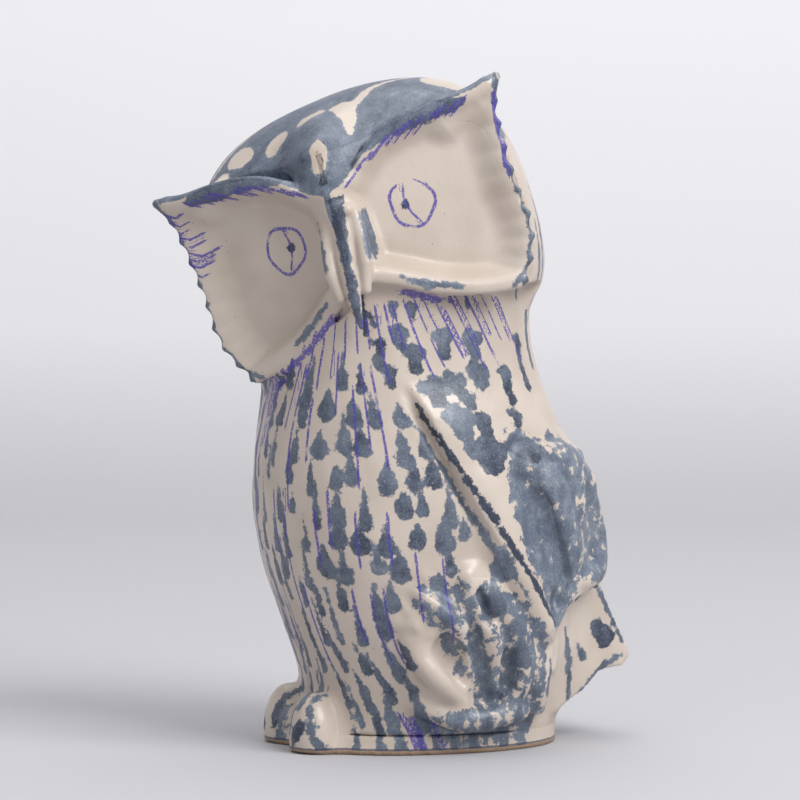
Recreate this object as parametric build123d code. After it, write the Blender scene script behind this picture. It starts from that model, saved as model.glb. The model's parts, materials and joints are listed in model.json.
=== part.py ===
"""Hand-built hollow ceramic owl: the clay pieces it is put together from.

The owl sits with its breast towards -Y, its tail towards +Y and its left side towards +X.
Its head is turned to its left and tipped. The origin is the middle of the flat underside,
+Z is up, and everything is in millimetres.
"""

from build123d import *

import os
from math import copysign, cos, pi, radians, sin

# ---------------------------------------------------------------- driving dimensions

WALL = 6.5  # clay wall of the body and head
SLAB = 7.0  # thickness of the rolled base slab
VENT_DIAMETER = 8.0  # firing vent through the base slab
VENT_Y = 14.0
NECK_DIAMETER = 44.0  # opening between the head pot and the body pot
NECK_CENTRE = (0.0, -10.0, 155.0)
NECK_LENGTH = 80.0
REACH = 300.0  # longer than any part of the owl, for cutting tools

# Oval sections of the body: height, front Y, back Y, half width
BODY_SECTIONS = [
    (0.0, -49.0, 52.0, 40.0),
    (24.0, -43.0, 55.0, 43.0),
    (50.0, -51.0, 58.0, 49.0),
    (78.0, -59.0, 59.0, 52.0),
    (108.0, -60.0, 55.0, 51.0),
    (140.0, -57.0, 43.0, 46.0),
    (164.0, -56.0, 40.0, 44.0),
    (182.0, -50.0, 30.0, 38.0),
]
BODY_BOXINESS = 2.3  # exponent of the oval: 2 is an ellipse
OUTLINE_POINTS = 16  # points round one closed oval section

# Head: where the ridge between the two face discs is, and how the head is turned
FACE_ORIGIN = (37.8, -41.3, 186.5)
FACE_TURN = 58.0  # degrees from the breast towards the owl's left
FACE_ROLL = 20.0  # degrees, the owl's left ear up
DISC_ANGLE = 20.0  # each disc falls back from the beak ridge by this angle

# One half of the head's outline, from the crown to the chin, as shares of width and height
HEAD_OUTLINE = [
    (0.0, 1.0),
    (0.45, 0.95),
    (0.80, 0.76),
    (0.98, 0.35),
    (1.0, -0.15),
    (0.96, -0.60),
    (0.84, -0.95),
    (0.44, -1.04),
    (0.0, -1.0),
]
# Sections of the head behind the face: distance back, half width, height above and below
HEAD_SECTIONS = [
    (-3.0, 52.0, 20.0, 36.0),
    (12.0, 58.0, 32.0, 39.0),
    (27.0, 61.0, 46.0, 40.0),
    (50.0, 61.0, 56.0, 40.0),
    (76.0, 52.0, 48.0, 37.0),
    (94.0, 34.0, 30.0, 29.0),
    (102.0, 15.0, 13.0, 14.0),
]
CHIN_TOP = -17.0  # the breast rises in a wedge between the lower edges of the discs
CHIN_SIDE = (60.0, -38.0)
CHIN_DEPTH = 48.0  # how far behind the face that wedge reaches
FACE_BOTTOM = -60.0  # below the lowest point of the head, in the plane of the face

DISC_THICKNESS = 8.0
DISC_DISH_RADIUS = 130.0
DISC_DISH_DEPTH = 4.5
DISC_DISH_CENTRE = (34.0, 2.0)

# Rolled coils on the face, as points across and up one disc, with the coil's radius
BROW_PATH = [(9.0, 20.0), (31.0, 29.0), (54.0, 33.0)]
BROW_RADIUS = 4.5
RIM_PATH = [(65.0, 24.0), (66.0, 4.0), (64.0, -14.0), (58.0, -31.0)]
RIM_RADIUS = 3.5
FOLD_PATH = [(8.0, 14.0), (8.0, -2.0), (15.0, -16.0)]
FOLD_RADIUS = 3.5

# Sections of the ear tuft from its root to its tip: across, up, radius
TUFT_SECTIONS = [(50.0, 27.0, 11.0), (61.0, 32.0, 7.0), (71.0, 38.0, 1.5)]

# Sections of the beak from the brow to the tip: up, half width, how far it stands out
BEAK_SECTIONS = [
    (18.0, 6.0, 2.0),
    (8.0, 8.0, 6.0),
    (-8.0, 7.0, 11.0),
    (-20.0, 4.0, 11.0),
    (-29.0, 1.2, 6.0),
]
BEAK_BOXINESS = 2.0

# Side views (Y, Z) of the pieces laid on the body, and how far each stands proud of it
WING_OUTLINE = [
    (-19.0, 130.0),
    (-6.0, 134.0),
    (18.0, 120.0),
    (32.0, 98.0),
    (42.0, 62.0),
    (40.0, 41.0),
    (32.0, 42.0),
    (4.0, 86.0),
]
WING_PROUD = 4.0
WING_FOLD_OUTLINE = [
    (30.0, 64.0),
    (28.0, 100.0),
    (42.0, 114.0),
    (58.0, 111.0),
    (74.0, 98.0),
    (74.0, 58.0),
    (44.0, 52.0),
]
WING_FOLD_PROUD = 8.5
WING_FOLD_INNER = 12.0  # the two folds stop this far from the middle of the back
FLANK_OUTLINE = [
    (-22.0, 34.0),
    (-12.0, 58.0),
    (8.0, 64.0),
    (30.0, 42.0),
    (45.0, 32.0),
    (44.0, 8.0),
    (0.0, 8.0),
    (-18.0, 16.0),
]
FLANK_PROUD = 5.0

# Tail wedge: side view and half widths at the root and at the tip
TAIL_OUTLINE = [
    (40.0, 76.0),
    (63.0, 64.0),
    (81.0, 31.0),
    (77.0, 26.0),
    (66.0, 25.0),
    (58.0, 18.0),
    (40.0, 12.0),
]
TAIL_ROOT_WIDTH = 58.0
TAIL_TIP_WIDTH = 30.0
TAIL_LENGTH = 42.0

# Foot mound: centre and half sizes
FOOT_CENTRE = (15.0, -46.0, 5.0)
FOOT_HALF_SIZE = (11.0, 9.0, 17.0)


# ---------------------------------------------------------------- shared shapes


def boxy_oval(half_width, half_depth, boxiness):
    """Points round a superellipse about the origin."""
    points = []
    for index in range(OUTLINE_POINTS):
        angle = 2 * pi * index / OUTLINE_POINTS
        across, along = cos(angle), sin(angle)
        points.append(
            (
                copysign(abs(across) ** (2 / boxiness), across) * half_width,
                copysign(abs(along) ** (2 / boxiness), along) * half_depth,
            )
        )
    return points


def closed_curve(points):
    """A smooth closed wire through points."""
    return Wire([Edge.make_spline([Vector(*point) for point in points], periodic=True)])


def mirrored(shape):
    """The same piece on the owl's other side of the body."""
    return shape.mirror(Plane.YZ)


def one_solid(shape):
    """The largest solid of a cut shape, without the crumbs that a cut can leave."""
    return max(shape.solids(), key=lambda solid: solid.volume)


def body_form(grow=0.0):
    """The smooth mass of the body, grown sideways by grow."""
    sections = []
    for height, front, back, half_width in BODY_SECTIONS:
        middle = (front + back) / 2
        oval = boxy_oval(half_width + grow, (back - front) / 2 + grow, BODY_BOXINESS)
        sections.append(closed_curve([(x, y + middle, height) for x, y in oval]))
    return Solid.make_loft(sections)


def face_plane():
    """X across the face to the owl's left, Y up the face, Z straight out of it."""
    turn, roll = radians(FACE_TURN), radians(FACE_ROLL)
    level = Vector(cos(turn), sin(turn), 0)
    out = Vector(sin(turn), -cos(turn), 0)
    return Plane(FACE_ORIGIN, x_dir=level * cos(roll) + Vector(0, 0, sin(roll)), z_dir=out)


def disc_place(side):
    """The place of one face disc: side is 1 for the owl's left and -1 for its right."""
    return face_plane().location * Rotation(0, side * DISC_ANGLE, 0)


def head_form(grow=0.0):
    """The rounded mass of the head, grown all round by grow."""
    sections = []
    for back, half_width, above, below in HEAD_SECTIONS:
        half = [
            (u * (half_width + grow), v * ((above if v > 0 else below) + grow)) for u, v in HEAD_OUTLINE
        ]
        other_half = [(-x, y) for x, y in half[-2:0:-1]]
        sections.append(closed_curve([(x, y, -back) for x, y in half + other_half]))
    return face_plane().location * Solid.make_loft(sections)


def block(x_range, y_range, z_range):
    """A box between two corners."""
    spans = (x_range, y_range, z_range)
    size = [high - low for low, high in spans]
    middle = [(high + low) / 2 for low, high in spans]
    return Pos(*middle) * Box(*size)


def back_wall():
    """Everything behind the hollow of the head, a wall's thickness from its rearmost section."""
    rear = WALL - HEAD_SECTIONS[-1][0]
    return face_plane().location * block((-REACH, REACH), (-REACH, REACH), (-REACH * 2, rear))


def disc_half_space(side, behind):
    """Everything in front of one disc's plane, from behind that plane outwards."""
    return disc_place(side) * block((-REACH, REACH), (-REACH, REACH), (-behind, REACH))


def chin_wedge(clay=0.0):
    """The roof-shaped top of the breast under the discs, with some clay over it."""
    across, up = CHIN_SIDE
    outline = Polyline(
        (0, CHIN_TOP + clay),
        (across, up + clay),
        (REACH, up + clay),
        (REACH, -REACH),
        (-REACH, -REACH),
        (-REACH, up + clay),
        (-across, up + clay),
        close=True,
    )
    wedge = extrude(make_face(outline), REACH + CHIN_DEPTH + clay)
    return face_plane().location * Pos(0, 0, -CHIN_DEPTH - clay) * wedge


def face_room():
    """The room in front of the neck that belongs to the head, not to the breast."""
    room = block((-REACH, REACH), (FACE_BOTTOM, REACH), (-CHIN_DEPTH, REACH))
    return face_plane().location * room - chin_wedge()


def neck_hole():
    """The opening through the clay between the head pot and the body pot."""
    return Pos(*NECK_CENTRE) * Cylinder(NECK_DIAMETER / 2, NECK_LENGTH)


def side_prism(outline, inner=0.0):
    """An outline in the side view, carried from X = inner out past the owl's left side."""
    face = make_face(Polyline(*[(inner, y, z) for y, z in outline], close=True))
    return extrude(face, amount=REACH - inner, dir=(1, 0, 0))


def coil(side, path, radius):
    """A rolled coil of clay along a path given across and up one disc."""
    line = Spline(*[(side * across, up, 0) for across, up in path])
    section = Plane(origin=line @ 0, z_dir=line % 0) * Circle(radius)
    return disc_place(side) * sweep(section, line)


# ---------------------------------------------------------------- pieces


def make_base_slab(body):
    """The rolled slab that the owl stands on, with its firing vent."""
    slab = body & block((-REACH, REACH), (-REACH, REACH), (0, SLAB))
    vent = Pos(0, VENT_Y, SLAB / 2) * Cylinder(VENT_DIAMETER / 2, 2 * SLAB)
    return slab - vent


def make_head_block():
    """The whole head without its applied pieces: head pot and discs together."""
    block_form = head_form() - chin_wedge()
    for side in (1, -1):
        block_form -= disc_half_space(side, 0)
    return block_form


def make_disc(side, head_block):
    """One dished face disc: the front layer of the head block on one side of the ridge."""
    half = face_plane().location * block(
        (0, REACH) if side > 0 else (-REACH, 0), (-REACH, REACH), (-REACH, REACH)
    )
    layer = head_block & disc_half_space(side, DISC_THICKNESS) & half
    across, up = DISC_DISH_CENTRE
    ball = Pos(side * across, up, DISC_DISH_RADIUS - DISC_DISH_DEPTH) * Sphere(DISC_DISH_RADIUS)
    return one_solid(layer - disc_place(side) * ball)


def make_head_shell(head_block):
    """The hollow head pot behind the discs."""
    pot = head_block
    hollow = head_form(-WALL) - chin_wedge(WALL) - back_wall()
    for side in (1, -1):
        pot = pot - disc_half_space(side, DISC_THICKNESS)
        hollow = hollow - disc_half_space(side, DISC_THICKNESS + WALL)
    return one_solid(pot - hollow - neck_hole())


def make_body_shell(body, head_block):
    """The hollow body pot, trimmed to the underside of the head."""
    pot = body & block((-REACH, REACH), (-REACH, REACH), (SLAB, REACH))
    return one_solid(pot - head_block - face_room() - body_form(-WALL))


def make_beak():
    """The wedge of the beak on the ridge between the discs."""
    sections = [
        closed_curve([(x, up, z) for x, z in boxy_oval(half_width, stand_out, BEAK_BOXINESS)])
        for up, half_width, stand_out in BEAK_SECTIONS
    ]
    return face_plane().location * Solid.make_loft(sections)


def make_tuft(side):
    """The pinched ear tuft at the top outer corner of one disc."""
    root, tip = Vector(*TUFT_SECTIONS[0][:2]), Vector(*TUFT_SECTIONS[-1][:2])
    along = Vector(side * (tip.X - root.X), tip.Y - root.Y)
    sections = [
        Wire.make_circle(radius, Plane(origin=(side * across, up, -radius / 2), z_dir=along))
        for across, up, radius in TUFT_SECTIONS
    ]
    return disc_place(side) * Solid.make_loft(sections)


def make_laid_piece(outline, proud, inner=0.0):
    """A slab of clay laid on the left side of the body, standing proud of it."""
    return side_prism(outline, inner) & body_form(proud)


def make_tail():
    """The wedge of the tail, narrower towards its tip."""
    root_y = TAIL_OUTLINE[0][0]
    plan = Polyline(
        (-TAIL_ROOT_WIDTH / 2, root_y),
        (TAIL_ROOT_WIDTH / 2, root_y),
        (TAIL_TIP_WIDTH / 2, root_y + TAIL_LENGTH),
        (-TAIL_TIP_WIDTH / 2, root_y + TAIL_LENGTH),
        close=True,
    )
    return side_prism(TAIL_OUTLINE, -REACH) & extrude(make_face(plan), REACH)


def make_foot():
    """The mound of the left foot, flat on the ground."""
    mound = Pos(*FOOT_CENTRE) * scale(Sphere(1), by=FOOT_HALF_SIZE)
    return mound & block((-REACH, REACH), (-REACH, REACH), (0, REACH))


def add(pieces, name, shape, core=None):
    """Add a piece, cut back from the core and the pieces already there, so that they meet."""
    if core is not None:
        shape = shape - core
    room = shape.bounding_box()
    for other in pieces.values():
        if room.overlaps(other.bounding_box()):
            shape = shape - other
    pieces[name] = one_solid(shape)


def build():
    """Every piece of the owl by name."""
    body = body_form()
    head_block = make_head_block()
    pieces = {
        "base_slab": make_base_slab(body),
        "body_shell": make_body_shell(body, head_block),
        "head_shell": make_head_shell(head_block),
        "face_disc_left": make_disc(1, head_block),
        "face_disc_right": make_disc(-1, head_block),
    }
    for side, label in ((1, "left"), (-1, "right")):
        add(pieces, f"ear_tuft_{label}", make_tuft(side), head_block)
        add(pieces, f"brow_{label}", coil(side, BROW_PATH, BROW_RADIUS))
        add(pieces, f"face_rim_{label}", coil(side, RIM_PATH, RIM_RADIUS))
        add(pieces, f"beak_fold_{label}", coil(side, FOLD_PATH, FOLD_RADIUS))
    add(pieces, "beak", make_beak())

    laid = {
        "wing": make_laid_piece(WING_OUTLINE, WING_PROUD),
        "wing_fold": make_laid_piece(WING_FOLD_OUTLINE, WING_FOLD_PROUD, WING_FOLD_INNER),
        "flank_feathers": make_laid_piece(FLANK_OUTLINE, FLANK_PROUD),
        "foot": make_foot(),
    }
    for name, shape in laid.items():
        add(pieces, f"{name}_left", shape, body)
        add(pieces, f"{name}_right", mirrored(shape), body)
    add(pieces, "tail", make_tail(), body)
    return pieces


os.makedirs("parts", exist_ok=True)
for name, piece in build().items():
    export_step(piece, f"parts/{name}.step")
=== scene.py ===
"""Hand-built glazed ceramic owl: its looks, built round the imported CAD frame.

The pieces are sculpted in one distance field, so that they run into each other as wet clay does, and each
piece is then cut out of that field where its CAD node is. Lengths are millimetres until a mesh is made, which
is in metres.
"""

import json
from itertools import product

import bpy
import numpy as np
import openvdb
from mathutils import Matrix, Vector


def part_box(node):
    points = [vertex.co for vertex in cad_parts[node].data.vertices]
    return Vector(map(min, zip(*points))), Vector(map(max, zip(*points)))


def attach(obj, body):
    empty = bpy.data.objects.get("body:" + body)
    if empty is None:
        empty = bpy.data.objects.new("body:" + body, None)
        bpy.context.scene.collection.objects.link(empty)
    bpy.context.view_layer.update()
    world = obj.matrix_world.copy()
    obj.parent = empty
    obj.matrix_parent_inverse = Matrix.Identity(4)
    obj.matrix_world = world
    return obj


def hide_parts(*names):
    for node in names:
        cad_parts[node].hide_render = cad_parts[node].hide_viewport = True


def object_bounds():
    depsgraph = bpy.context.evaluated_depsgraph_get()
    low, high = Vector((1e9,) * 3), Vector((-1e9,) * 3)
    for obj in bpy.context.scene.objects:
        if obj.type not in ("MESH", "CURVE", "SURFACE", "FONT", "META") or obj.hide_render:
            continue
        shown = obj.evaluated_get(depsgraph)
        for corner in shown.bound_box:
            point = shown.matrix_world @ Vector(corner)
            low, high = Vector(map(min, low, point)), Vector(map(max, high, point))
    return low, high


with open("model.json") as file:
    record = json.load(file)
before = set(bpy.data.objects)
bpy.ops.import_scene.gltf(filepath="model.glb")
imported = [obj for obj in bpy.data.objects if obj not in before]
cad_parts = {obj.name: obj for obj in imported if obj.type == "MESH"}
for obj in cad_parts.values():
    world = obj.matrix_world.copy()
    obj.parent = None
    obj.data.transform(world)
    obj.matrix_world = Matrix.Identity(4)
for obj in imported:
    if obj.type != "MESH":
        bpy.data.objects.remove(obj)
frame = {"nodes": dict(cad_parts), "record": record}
cad_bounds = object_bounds()

MM = 0.001
MOST_TRIANGLES = 195000  # in one piece
CORNERS = tuple(product((0, 1), repeat=3))  # of one cell of a grid
COARSE, FINE, BAND = 1.0, 0.55, 9.0  # steps of the two grids and the reach of their distances
SQUARENESS = 2.3  # power of the body's oval sections; 2 is an ellipse

# ---- the owl's own coordinates

BODY_SECTIONS = np.array(
    [  # height, front Y, back Y, half width
        (0, -49, 52, 40),
        (24, -43, 55, 43),
        (50, -51, 58, 49),
        (78, -59, 59, 52),
        (108, -60, 55, 51),
        (140, -57, 43, 46),
        (164, -56, 40, 44),
        (182, -50, 30, 38),
    ],
    float,
)

FACE_ORIGIN = np.array((37.8, -41.3, 186.5))
FACE_TURN, FACE_ROLL, DISC_ANGLE = np.radians((58, 20, 20))
LEVEL = np.array((np.cos(FACE_TURN), np.sin(FACE_TURN), 0))
OUT = np.array((np.sin(FACE_TURN), -np.cos(FACE_TURN), 0))
ACROSS = LEVEL * np.cos(FACE_ROLL) + np.array((0, 0, np.sin(FACE_ROLL)))
UP = np.cross(OUT, ACROSS)


def disc_axes(side):
    """Across, up and out of one face disc: side is 1 for the owl's left and -1 for its right."""
    across = side * ACROSS * np.cos(DISC_ANGLE) - OUT * np.sin(DISC_ANGLE)
    out = OUT * np.cos(DISC_ANGLE) + side * ACROSS * np.sin(DISC_ANGLE)
    return across, UP, out


def on_disc(side, across, up, out=0.0):
    """A point given across from the beak ridge, up the face and out of one disc."""
    axes = disc_axes(side)
    return FACE_ORIGIN + across * axes[0] + up * axes[1] + out * axes[2]


def disc_coordinates(side, x, y, z):
    """Where points are on one disc: across, up and out."""
    dx, dy, dz = x - FACE_ORIGIN[0], y - FACE_ORIGIN[1], z - FACE_ORIGIN[2]
    return [dx * axis[0] + dy * axis[1] + dz * axis[2] for axis in disc_axes(side)]


def body_middle(z):
    """The Y of the body's axis at a height, and its half depth and half width."""
    front, back, width = (np.interp(z, BODY_SECTIONS[:, 0], BODY_SECTIONS[:, k]) for k in (1, 2, 3))
    return (front + back) / 2, (back - front) / 2, width


def round_body(x, y, z):
    """Degrees round the body from the breast: positive on the owl's left, 180 at the tail."""
    middle, _, _ = body_middle(z)
    return np.degrees(np.arctan2(x, middle - y))


def on_body(angle, z, out=0.0):
    """A point on the body at an angle round it and a height."""
    middle, depth, width = body_middle(z)
    s, c = np.sin(np.radians(angle)), np.cos(np.radians(angle))
    reach = (abs(s / width) ** SQUARENESS + abs(c / depth) ** SQUARENESS) ** (-1 / SQUARENESS) + out
    return np.array((reach * s, middle - reach * c, z))


# ---- fields on a grid


def smooth_step(x, low, high):
    t = np.clip((x - low) / (high - low), 0, 1)
    return t * t * (3 - 2 * t)


def lattice_noise(x, y, z, size, seed):
    """Smooth noise from -1 to 1 with features of about a given size."""
    table = np.random.default_rng(seed).uniform(-1, 1, (32, 32, 32)).astype(np.float32)
    total = 0
    cells, shares = [], []
    for value in (x, y, z):
        scaled = np.asarray(value, np.float32) / size + 1000.37
        cell = np.floor(scaled).astype(np.int32)
        share = scaled - cell
        cells.append(cell)
        shares.append(share * share * (3 - 2 * share))
    for corner in CORNERS:
        weight = 1
        for share, step in zip(shares, corner):
            weight = weight * (share if step else 1 - share)
        total = total + weight * table[tuple((cell + step) % 32 for cell, step in zip(cells, corner))]
    return total


def vertex_values(mesh, name):
    """Three numbers for each vertex of a mesh."""
    values = np.empty(3 * len(mesh.vertices), np.float32)
    mesh.vertices.foreach_get(name, values)
    return values.reshape(-1, 3)


def add_object(name, data):
    thing = bpy.data.objects.new(name, data)
    bpy.context.scene.collection.objects.link(thing)
    return thing


RELIEF_LIMIT, RELIEF_REACH, RELIEF_PASSES = 5, 1.4, 4


def spread(values, share):
    """Values given evenly along a path, read at shares of its length."""
    return np.interp(share, np.linspace(0, 1, len(values)), values)


class Zone:
    """A block of space sampled at an even step, with the field of the clay in it."""

    def __init__(self, low, high, step, band):
        self.step, self.band = step, band
        self.first = np.floor(np.array(low) / step).astype(int)
        self.shape = tuple(np.ceil(np.array(high) / step).astype(int) - self.first + 1)
        x, y, z = (((self.first[k] + np.arange(self.shape[k])) * step).astype(np.float32) for k in range(3))
        self.x, self.y, self.z = x[:, None, None], y[None, :, None], z[None, None, :]
        self.nodes = {}

    def level_set(self, name):
        """The signed distance to one CAD node, cut off at the band."""
        if name in self.nodes:
            return self.nodes[name]
        mesh = frame["nodes"][name].data
        mesh.calc_loop_triangles()
        triangles = np.empty(len(mesh.loop_triangles) * 3, np.int32)
        mesh.loop_triangles.foreach_get("vertices", triangles)
        grid = openvdb.FloatGrid.createLevelSetFromPolygons(
            vertex_values(mesh, "co") / MM,
            triangles=triangles.reshape(-1, 3).astype(np.uint32),
            transform=openvdb.createLinearTransform(voxelSize=self.step),
            halfWidth=self.band / self.step,
        )
        field = np.empty(self.shape, np.float32)
        grid.copyToArray(field, ijk=tuple(int(v) for v in self.first))
        self.nodes[name] = field.astype(np.float16)
        return self.nodes[name]

    def room(self, low, high):
        """The part of the grid in a box."""
        parts = []
        for k in range(3):
            start = int(np.clip(np.floor(low[k] / self.step) - self.first[k], 0, self.shape[k]))
            stop = int(np.clip(np.ceil(high[k] / self.step) - self.first[k] + 1, 0, self.shape[k]))
            parts.append(slice(start, stop))
        return tuple(parts)

    def rope(self, points, radii, reach):
        """The distance to a rope of clay through points, with its place on the grid."""
        points, radii = np.array(points, float), np.broadcast_to(radii, len(points)).astype(float)
        swell = radii.max() + reach
        place = self.room(points.min(0) - swell, points.max(0) + swell)
        x, y, z = self.x[place[0]], self.y[:, place[1]], self.z[:, :, place[2]]
        nearest = None
        for start, end, r0, r1 in zip(points[:-1], points[1:], radii[:-1], radii[1:]):
            along = end - start
            share = (x - start[0]) * along[0] + (y - start[1]) * along[1] + (z - start[2]) * along[2]
            share = np.clip(share / (along @ along), 0, 1)
            dx, dy, dz = (v - start[k] - share * along[k] for k, v in enumerate((x, y, z)))
            gap = np.sqrt(dx**2 + dy**2 + dz**2) - (r0 + share * (r1 - r0))
            nearest = gap if nearest is None else np.minimum(nearest, gap)
        return place, nearest

    def add(self, points, radii, blend, sign=1):
        """Press a rope of clay onto the field, or take it out of it where sign is -1."""
        place, rope = self.rope(points, radii, 2 * blend + 1)
        if rope.size:
            self.field[place] = sign * join(sign * self.field[place], rope, blend)

    def cut(self, points, radii, blend):
        """Draw a tool of a given radius through the clay."""
        self.add(points, radii, blend, -1)

    def measure_relief(self):
        """Where the clay is hollow and where it stands proud, from the field smoothed over a few mm."""
        smooth = np.clip(self.field, -RELIEF_LIMIT, RELIEF_LIMIT)
        reach = max(1, round(RELIEF_REACH / self.step))
        for _ in range(RELIEF_PASSES):
            for axis in range(3):
                smooth = (np.roll(smooth, reach, axis) + smooth + np.roll(smooth, -reach, axis)) / 3
        self.relief = smooth

    def relief_at(self, points):
        """Millimetres proud, or hollow when negative, at points on the clay."""
        place = points / self.step - self.first
        cell = np.clip(np.floor(place).astype(int), 0, np.array(self.shape) - 2)
        share = place - cell
        total = 0
        for corner in CORNERS:
            weight = 1
            for axis, step in enumerate(corner):
                weight = weight * (share[:, axis] if step else 1 - share[:, axis])
            total = total + weight * self.relief[tuple((cell + corner).T)]
        return total


def join(a, b, blend):
    """The smooth union of two distance fields."""
    share = np.clip(0.5 + 0.5 * (b - a) / blend, 0, 1)
    return b + (a - b) * share - blend * share * (1 - share)


def curve(points, count):
    """Points along a smooth Catmull-Rom curve through a few points."""
    points = np.array(points, float)
    padded = np.vstack((2 * points[0] - points[1], points, 2 * points[-1] - points[-2]))
    result = []
    for t in np.linspace(0, len(points) - 1, count):
        i = min(int(t), len(points) - 2)
        f = t - i
        p0, p1, p2, p3 = padded[i : i + 4]
        square, cube = 2 * p0 - 5 * p1 + 4 * p2 - p3, 3 * p1 - p0 - 3 * p2 + p3
        result.append(0.5 * (2 * p1 + (p2 - p0) * f + square * f**2 + cube * f**3))
    return np.array(result)


# ---- sculpting

# Lines on one face disc, as points across from the ridge and up the face
BROW = [(0.5, 17), (8, 20), (15, 25), (24, 30), (35, 33), (48, 34.5), (60, 35), (67, 36.5)]
OUTER_EDGE = [(71, 38.5), (69, 31), (67, 22), (66, 10), (65.5, -2), (66, -14), (63, -25), (56.5, -35)]
CHIN = [(55, -36), (42, -34), (27, -28.5), (14, -21), (6, -17), (0.5, -16)]
RIDGE = [(0.5, -16), (0.5, 17)]
CREASE = [(56, -40), (42, -38), (27, -32.5), (14, -25), (5, -21)]
PINCH = 8.5  # spacing of the finger pinches along the outer edge
# Each edge of the dish: how high it stands, how wide its crest is and how far it slopes
DISH_DEPTH = 5.5
DISH_EDGES = {
    "brow": (2.2, 0.6, 9.0),
    "outer": (1.2, 0.3, 13.0),
    "chin": (2.2, 3.4, 8.0),
    "ridge": (1.0, 5.5, 8.0),
}

BEAK_LEAN = 0.14  # how far the beak slants across for each millimetre up
# Ropes of clay on the face, up and out from the ridge, or with how far across first, and their radii
PEAK = [(34, -26), (28, -16), (20, -7), (11, -1.5), (2, -0.5)]
PEAK_RADII = (12, 12, 9.5, 6, 5)
BEAK = [(8, 0.5), (-2, 2.6), (-12, 4.4), (-22, 4.8), (-31, 3.0)]
BEAK_RADII = (4.0, 3.6, 3.2, 2.4, 0.9)
EAR = [(50, 30, -8), (62, 33, -4), (71.5, 38.5, 0.5)]
EAR_RADII = (8.0, 5.0, 1.2)
BEAK_FOLD = [(5.5, 10, 1), (6.5, 0, 2), (6.5, -10, 3.5), (5, -19, 4)]
BEAK_FOLD_RADII = (1.6, 2.4, 2.6, 1.8)
BEAK_GROOVE = [(3.4, 7, 5.8), (3.9, -5, 7.6), (3.4, -16, 8.2)]
BEAK_GROOVE_RADII = (0.7, 0.9, 0.7)
SIDES = ((1, "left"), (-1, "right"))


def on_face(across, up, out):
    """A point across, up and out of the plane that the ridge of the beak lies in."""
    return FACE_ORIGIN + across * ACROSS + up * UP + out * OUT


def disc_curve(side, points, out, count):
    """A smooth curve on one disc, standing out of it."""
    return np.array([on_disc(side, a, b, out) for a, b in curve(points, count)])


def line_distance(points, a, b):
    """The distance in the disc's plane to a line through points."""
    nearest = None
    for start, end in zip(points[:-1], points[1:]):
        along = end - start
        share = np.clip(((a - start[0]) * along[0] + (b - start[1]) * along[1]) / (along @ along), 0, 1)
        gap = np.hypot(a - start[0] - share * along[0], b - start[1] - share * along[1])
        nearest = gap if nearest is None else np.minimum(nearest, gap)
    return nearest


def inside_outline(points, a, b):
    """Which points of the disc's plane are inside a closed outline."""
    inside = np.zeros(np.broadcast(a, b).shape, bool)
    for (a0, b0), (a1, b1) in zip(points, np.roll(points, -1, axis=0)):
        crosses = (b0 > b) != (b1 > b)
        inside ^= crosses & (a < (a1 - a0) * (b - b0) / (b1 - b0 + 1e-9) + a0)
    return inside


class Dish:
    """The outline and the hollow of a face disc, as tables over its plane."""

    step = 0.5
    first = (-8.0, -50.0)
    count = (176, 190)

    def __init__(self):
        a = (self.first[0] + self.step * np.arange(self.count[0]))[:, None]
        b = (self.first[1] + self.step * np.arange(self.count[1]))[None, :]
        outer = curve(OUTER_EDGE, 90)
        length = np.concatenate(([0], np.cumsum(np.hypot(*np.diff(outer, axis=0).T))))
        outer[:, 0] += 1.3 * (1 - 1.6 * np.abs(np.sin(np.pi * length / PINCH))) * smooth_step(length, 4, 12)
        lines = {"brow": curve(BROW, 40), "outer": outer, "chin": curve(CHIN, 40), "ridge": np.array(RIDGE)}
        around = np.vstack((lines["brow"], outer, lines["chin"], lines["ridge"]))
        gaps = {name: line_distance(points, a, b) for name, points in lines.items()}
        nearest = np.min(list(gaps.values()), axis=0)
        self.outline = np.where(inside_outline(around, a, b), -nearest, nearest)
        lift = np.zeros_like(nearest)
        for name, (height, crest, slope) in DISH_EDGES.items():
            fall = 1 - smooth_step(gaps[name], crest, crest + slope)
            lift = np.maximum(lift, (DISH_DEPTH + height) * fall)
        for _ in range(6):
            lift = (
                lift
                + np.roll(lift, 1, 0) + np.roll(lift, -1, 0)
                + np.roll(lift, 1, 1) + np.roll(lift, -1, 1)
            ) / 5
        self.surface = lift - DISH_DEPTH

    def sample(self, table, a, b):
        """A table's value at points of the plane."""
        u = np.clip((a - self.first[0]) / self.step, 0, self.count[0] - 1.001)
        v = np.clip((b - self.first[1]) / self.step, 0, self.count[1] - 1.001)
        i, j = u.astype(int), v.astype(int)
        u, v = u - i, v - j
        low = table[i, j] * (1 - u) * (1 - v) + table[i + 1, j] * u * (1 - v)
        return low + table[i, j + 1] * (1 - u) * v + table[i + 1, j + 1] * u * v


def sculpt_disc(zone, side, dish):
    """One dished face disc with its thin pinched edge."""
    corners = [on_disc(side, a, b, out) for a in (-4, 76) for b in (-42, 44) for out in (-14, 8)]
    place = zone.room(np.min(corners, axis=0), np.max(corners, axis=0))
    x, y, z = zone.x[place[0]], zone.y[:, place[1]], zone.z[:, :, place[2]]
    a, b, out = disc_coordinates(side, x, y, z)
    outline = dish.sample(dish.outline, a, b)
    front = out - dish.sample(dish.surface, a, b)
    back = -front - np.minimum(2.6 + np.maximum(-outline, 0) * 0.9, 9)
    plate = -join(-outline, -front, 1.2)
    plate = -join(-plate, -back, 1.5)
    zone.field[place] = join(zone.field[place], plate.astype(np.float32), 5.5)


# The wing's front edge in the side view, how far it bows forwards and over what length
WING_EDGE = np.array(((-19.0, 131.0), (33.0, 43.0)))
WING_BOW, WING_LENGTH = 2.5, 102.0


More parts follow.
